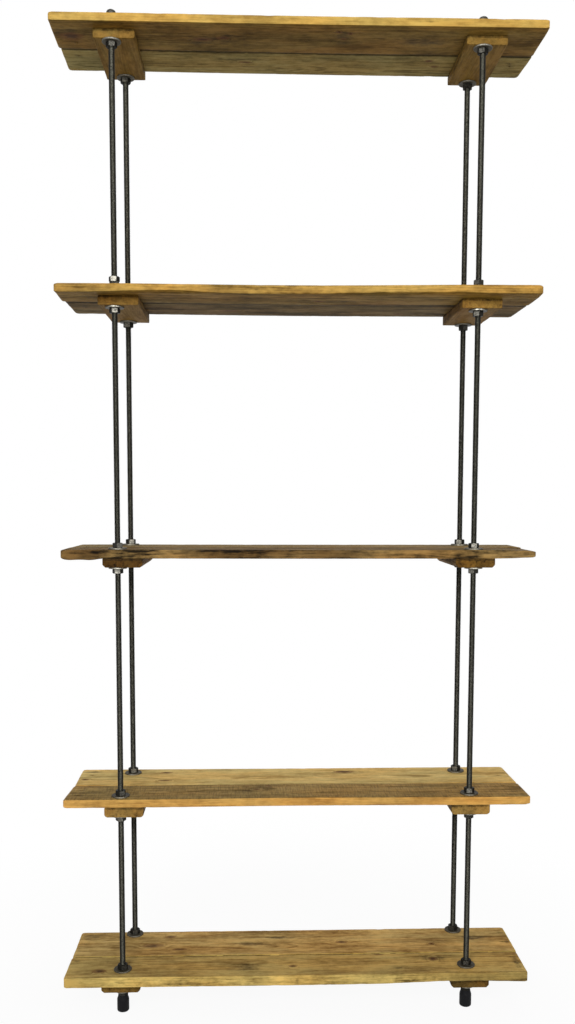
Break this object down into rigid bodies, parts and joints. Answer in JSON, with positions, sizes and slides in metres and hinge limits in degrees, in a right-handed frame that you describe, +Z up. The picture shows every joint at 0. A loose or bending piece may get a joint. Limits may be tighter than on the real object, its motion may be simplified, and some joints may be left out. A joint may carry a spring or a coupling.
{
  "type": "threaded rod shelving unit",
  "caption": "Free-standing shelving unit of reclaimed planks on cross cleats, clamped at set heights on threaded rods by hex nuts and penny washers, on rubber feet.",
  "frame": {"origin": "on the floor, at the middle of the outline seen from above", "axes": "+X to the right seen from the front, front towards -Y, +Z up"},
  "size_m": [0.965, 0.265, 2.012],
  "materials": {
    "plank_softwood": "reclaimed softwood, planed and oiled, worn",
    "cleat_softwood": "reclaimed softwood, sawn",
    "rod_steel": "dull threaded steel",
    "nut_steel": "plain steel, slightly glossy",
    "washer_steel": "zinc plated",
    "foot_rubber": "black moulded rubber"
  },
  "bodies": {
    "uprights": {"cap_nuts": "nut_steel", "feet": "foot_rubber", "rod_front_left": "rod_steel", "rod_front_right": "rod_steel", "rod_rear_left": "rod_steel", "rod_rear_right": "rod_steel", "shelf_1_front_plank": "plank_softwood", "shelf_1_left_cleat": "cleat_softwood", "shelf_1_nuts": "nut_steel", "shelf_1_rear_plank": "plank_softwood", "shelf_1_right_cleat": "cleat_softwood", "shelf_1_washers": "washer_steel", "shelf_5_front_plank": "plank_softwood", "shelf_5_left_cleat": "cleat_softwood", "shelf_5_nuts": "nut_steel", "shelf_5_rear_plank": "plank_softwood", "shelf_5_right_cleat": "cleat_softwood", "shelf_5_washers": "washer_steel"},
    "shelf_2": {"shelf_2_front_plank": "plank_softwood", "shelf_2_left_cleat": "cleat_softwood", "shelf_2_rear_plank": "plank_softwood", "shelf_2_right_cleat": "cleat_softwood", "shelf_2_washers": "washer_steel"},
    "shelf_2_nut_upper_front_left": {"shelf_2_nut_upper_front_left": "nut_steel"},
    "shelf_2_nut_upper_front_right": {"shelf_2_nut_upper_front_right": "nut_steel"},
    "shelf_2_nut_upper_rear_left": {"shelf_2_nut_upper_rear_left": "nut_steel"},
    "shelf_2_nut_upper_rear_right": {"shelf_2_nut_upper_rear_right": "nut_steel"},
    "shelf_2_nut_lower_front_left": {"shelf_2_nut_lower_front_left": "nut_steel"},
    "shelf_2_nut_lower_front_right": {"shelf_2_nut_lower_front_right": "nut_steel"},
    "shelf_2_nut_lower_rear_left": {"shelf_2_nut_lower_rear_left": "nut_steel"},
    "shelf_2_nut_lower_rear_right": {"shelf_2_nut_lower_rear_right": "nut_steel"},
    "shelf_3": {"shelf_3_front_plank": "plank_softwood", "shelf_3_left_cleat": "cleat_softwood", "shelf_3_rear_plank": "plank_softwood", "shelf_3_right_cleat": "cleat_softwood", "shelf_3_washers": "washer_steel"},
    "shelf_3_nut_upper_front_left": {"shelf_3_nut_upper_front_left": "nut_steel"},
    "shelf_3_nut_upper_front_right": {"shelf_3_nut_upper_front_right": "nut_steel"},
    "shelf_3_nut_upper_rear_left": {"shelf_3_nut_upper_rear_left": "nut_steel"},
    "shelf_3_nut_upper_rear_right": {"shelf_3_nut_upper_rear_right": "nut_steel"},
    "shelf_3_nut_lower_front_left": {"shelf_3_nut_lower_front_left": "nut_steel"},
    "shelf_3_nut_lower_front_right": {"shelf_3_nut_lower_front_right": "nut_steel"},
    "shelf_3_nut_lower_rear_left": {"shelf_3_nut_lower_rear_left": "nut_steel"},
    "shelf_3_nut_lower_rear_right": {"shelf_3_nut_lower_rear_right": "nut_steel"},
    "shelf_4": {"shelf_4_front_plank": "plank_softwood", "shelf_4_left_cleat": "cleat_softwood", "shelf_4_rear_plank": "plank_softwood", "shelf_4_right_cleat": "cleat_softwood", "shelf_4_washers": "washer_steel"},
    "shelf_4_nut_upper_front_left": {"shelf_4_nut_upper_front_left": "nut_steel"},
    "shelf_4_nut_upper_front_right": {"shelf_4_nut_upper_front_right": "nut_steel"},
    "shelf_4_nut_upper_rear_left": {"shelf_4_nut_upper_rear_left": "nut_steel"},
    "shelf_4_nut_upper_rear_right": {"shelf_4_nut_upper_rear_right": "nut_steel"},
    "shelf_4_nut_lower_front_left": {"shelf_4_nut_lower_front_left": "nut_steel"},
    "shelf_4_nut_lower_front_right": {"shelf_4_nut_lower_front_right": "nut_steel"},
    "shelf_4_nut_lower_rear_left": {"shelf_4_nut_lower_rear_left": "nut_steel"},
    "shelf_4_nut_lower_rear_right": {"shelf_4_nut_lower_rear_right": "nut_steel"}
  },
  "joints": [
    {"name": "shelf_2_height", "type": "slide", "parent": "uprights", "child": "shelf_2", "axis": [0, 0, 1], "range_m": [-0.2, 0.2]},
    {"name": "shelf_2_nut_upper_front_left_turn", "type": "hinge", "parent": "shelf_2", "child": "shelf_2_nut_upper_front_left", "pos_m": [-0.365, -0.0705, 0], "axis": [0, 0, 1], "range_deg": [-41163.4, 41163.4]},
    {"name": "shelf_2_nut_upper_front_right_turn", "type": "hinge", "parent": "shelf_2", "child": "shelf_2_nut_upper_front_right", "pos_m": [0.359, -0.0705, 0], "axis": [0, 0, 1], "range_deg": [-41163.4, 41163.4]},
    {"name": "shelf_2_nut_upper_rear_left_turn", "type": "hinge", "parent": "shelf_2", "child": "shelf_2_nut_upper_rear_left", "pos_m": [-0.359, 0.0995, 0], "axis": [0, 0, 1], "range_deg": [-41163.4, 41163.4]},
    {"name": "shelf_2_nut_upper_rear_right_turn", "type": "hinge", "parent": "shelf_2", "child": "shelf_2_nut_upper_rear_right", "pos_m": [0.365, 0.0995, 0], "axis": [0, 0, 1], "range_deg": [-41163.4, 41163.4]},
    {"name": "shelf_2_nut_lower_front_left_turn", "type": "hinge", "parent": "shelf_2", "child": "shelf_2_nut_lower_front_left", "pos_m": [-0.365, -0.0705, 0], "axis": [0, 0, 1], "range_deg": [-41163.4, 41163.4]},
    {"name": "shelf_2_nut_lower_front_right_turn", "type": "hinge", "parent": "shelf_2", "child": "shelf_2_nut_lower_front_right", "pos_m": [0.359, -0.0705, 0], "axis": [0, 0, 1], "range_deg": [-41163.4, 41163.4]},
    {"name": "shelf_2_nut_lower_rear_left_turn", "type": "hinge", "parent": "shelf_2", "child": "shelf_2_nut_lower_rear_left", "pos_m": [-0.359, 0.0995, 0], "axis": [0, 0, 1], "range_deg": [-41163.4, 41163.4]},
    {"name": "shelf_2_nut_lower_rear_right_turn", "type": "hinge", "parent": "shelf_2", "child": "shelf_2_nut_lower_rear_right", "pos_m": [0.365, 0.0995, 0], "axis": [0, 0, 1], "range_deg": [-41163.4, 41163.4]},
    {"name": "shelf_3_height", "type": "slide", "parent": "uprights", "child": "shelf_3", "axis": [0, 0, 1], "range_m": [-0.2, 0.2]},
    {"name": "shelf_3_nut_upper_front_left_turn", "type": "hinge", "parent": "shelf_3", "child": "shelf_3_nut_upper_front_left", "pos_m": [-0.365, -0.0705, 0], "axis": [0, 0, 1], "range_deg": [-41163.4, 41163.4]},
    {"name": "shelf_3_nut_upper_front_right_turn", "type": "hinge", "parent": "shelf_3", "child": "shelf_3_nut_upper_front_right", "pos_m": [0.359, -0.0705, 0], "axis": [0, 0, 1], "range_deg": [-41163.4, 41163.4]},
    {"name": "shelf_3_nut_upper_rear_left_turn", "type": "hinge", "parent": "shelf_3", "child": "shelf_3_nut_upper_rear_left", "pos_m": [-0.359, 0.0995, 0], "axis": [0, 0, 1], "range_deg": [-41163.4, 41163.4]},
    {"name": "shelf_3_nut_upper_rear_right_turn", "type": "hinge", "parent": "shelf_3", "child": "shelf_3_nut_upper_rear_right", "pos_m": [0.365, 0.0995, 0], "axis": [0, 0, 1], "range_deg": [-41163.4, 41163.4]},
    {"name": "shelf_3_nut_lower_front_left_turn", "type": "hinge", "parent": "shelf_3", "child": "shelf_3_nut_lower_front_left", "pos_m": [-0.365, -0.0705, 0], "axis": [0, 0, 1], "range_deg": [-41163.4, 41163.4]},
    {"name": "shelf_3_nut_lower_front_right_turn", "type": "hinge", "parent": "shelf_3", "child": "shelf_3_nut_lower_front_right", "pos_m": [0.359, -0.0705, 0], "axis": [0, 0, 1], "range_deg": [-41163.4, 41163.4]},
    {"name": "shelf_3_nut_lower_rear_left_turn", "type": "hinge", "parent": "shelf_3", "child": "shelf_3_nut_lower_rear_left", "pos_m": [-0.359, 0.0995, 0], "axis": [0, 0, 1], "range_deg": [-41163.4, 41163.4]},
    {"name": "shelf_3_nut_lower_rear_right_turn", "type": "hinge", "parent": "shelf_3", "child": "shelf_3_nut_lower_rear_right", "pos_m": [0.365, 0.0995, 0], "axis": [0, 0, 1], "range_deg": [-41163.4, 41163.4]},
    {"name": "shelf_4_height", "type": "slide", "parent": "uprights", "child": "shelf_4", "axis": [0, 0, 1], "range_m": [-0.2, 0.2]},
    {"name": "shelf_4_nut_upper_front_left_turn", "type": "hinge", "parent": "shelf_4", "child": "shelf_4_nut_upper_front_left", "pos_m": [-0.365, -0.0705, 0], "axis": [0, 0, 1], "range_deg": [-41163.4, 41163.4]},
    {"name": "shelf_4_nut_upper_front_right_turn", "type": "hinge", "parent": "shelf_4", "child": "shelf_4_nut_upper_front_right", "pos_m": [0.359, -0.0705, 0], "axis": [0, 0, 1], "range_deg": [-41163.4, 41163.4]},
    {"name": "shelf_4_nut_upper_rear_left_turn", "type": "hinge", "parent": "shelf_4", "child": "shelf_4_nut_upper_rear_left", "pos_m": [-0.359, 0.0995, 0], "axis": [0, 0, 1], "range_deg": [-41163.4, 41163.4]},
    {"name": "shelf_4_nut_upper_rear_right_turn", "type": "hinge", "parent": "shelf_4", "child": "shelf_4_nut_upper_rear_right", "pos_m": [0.365, 0.0995, 0], "axis": [0, 0, 1], "range_deg": [-41163.4, 41163.4]},
    {"name": "shelf_4_nut_lower_front_left_turn", "type": "hinge", "parent": "shelf_4", "child": "shelf_4_nut_lower_front_left", "pos_m": [-0.365, -0.0705, 0], "axis": [0, 0, 1], "range_deg": [-41163.4, 41163.4]},
    {"name": "shelf_4_nut_lower_front_right_turn", "type": "hinge", "parent": "shelf_4", "child": "shelf_4_nut_lower_front_right", "pos_m": [0.359, -0.0705, 0], "axis": [0, 0, 1], "range_deg": [-41163.4, 41163.4]},
    {"name": "shelf_4_nut_lower_rear_left_turn", "type": "hinge", "parent": "shelf_4", "child": "shelf_4_nut_lower_rear_left", "pos_m": [-0.359, 0.0995, 0], "axis": [0, 0, 1], "range_deg": [-41163.4, 41163.4]},
    {"name": "shelf_4_nut_lower_rear_right_turn", "type": "hinge", "parent": "shelf_4", "child": "shelf_4_nut_lower_rear_right", "pos_m": [0.365, 0.0995, 0], "axis": [0, 0, 1], "range_deg": [-41163.4, 41163.4]}
  ],
  "couplings": [
    {"joint": "shelf_2_nut_upper_front_left_turn", "follows": "shelf_2_height", "rad_per_m": 3590.4},
    {"joint": "shelf_2_nut_upper_front_right_turn", "follows": "shelf_2_height", "rad_per_m": 3590.4},
    {"joint": "shelf_2_nut_upper_rear_left_turn", "follows": "shelf_2_height", "rad_per_m": 3590.4},
    {"joint": "shelf_2_nut_upper_rear_right_turn", "follows": "shelf_2_height", "rad_per_m": 3590.4},
    {"joint": "shelf_2_nut_lower_front_left_turn", "follows": "shelf_2_height", "rad_per_m": 3590.4},
    {"joint": "shelf_2_nut_lower_front_right_turn", "follows": "shelf_2_height", "rad_per_m": 3590.4},
    {"joint": "shelf_2_nut_lower_rear_left_turn", "follows": "shelf_2_height", "rad_per_m": 3590.4},
    {"joint": "shelf_2_nut_lower_rear_right_turn", "follows": "shelf_2_height", "rad_per_m": 3590.4},
    {"joint": "shelf_3_nut_upper_front_left_turn", "follows": "shelf_3_height", "rad_per_m": 3590.4},
    {"joint": "shelf_3_nut_upper_front_right_turn", "follows": "shelf_3_height", "rad_per_m": 3590.4},
    {"joint": "shelf_3_nut_upper_rear_left_turn", "follows": "shelf_3_height", "rad_per_m": 3590.4},
    {"joint": "shelf_3_nut_upper_rear_right_turn", "follows": "shelf_3_height", "rad_per_m": 3590.4},
    {"joint": "shelf_3_nut_lower_front_left_turn", "follows": "shelf_3_height", "rad_per_m": 3590.4},
    {"joint": "shelf_3_nut_lower_front_right_turn", "follows": "shelf_3_height", "rad_per_m": 3590.4},
    {"joint": "shelf_3_nut_lower_rear_left_turn", "follows": "shelf_3_height", "rad_per_m": 3590.4},
    {"joint": "shelf_3_nut_lower_rear_right_turn", "follows": "shelf_3_height", "rad_per_m": 3590.4},
    {"joint": "shelf_4_nut_upper_front_left_turn", "follows": "shelf_4_height", "rad_per_m": 3590.4},
    {"joint": "shelf_4_nut_upper_front_right_turn", "follows": "shelf_4_height", "rad_per_m": 3590.4},
    {"joint": "shelf_4_nut_upper_rear_left_turn", "follows": "shelf_4_height", "rad_per_m": 3590.4},
    {"joint": "shelf_4_nut_upper_rear_right_turn", "follows": "shelf_4_height", "rad_per_m": 3590.4},
    {"joint": "shelf_4_nut_lower_front_left_turn", "follows": "shelf_4_height", "rad_per_m": 3590.4},
    {"joint": "shelf_4_nut_lower_front_right_turn", "follows": "shelf_4_height", "rad_per_m": 3590.4},
    {"joint": "shelf_4_nut_lower_rear_left_turn", "follows": "shelf_4_height", "rad_per_m": 3590.4},
    {"joint": "shelf_4_nut_lower_rear_right_turn", "follows": "shelf_4_height", "rad_per_m": 3590.4}
  ]
}
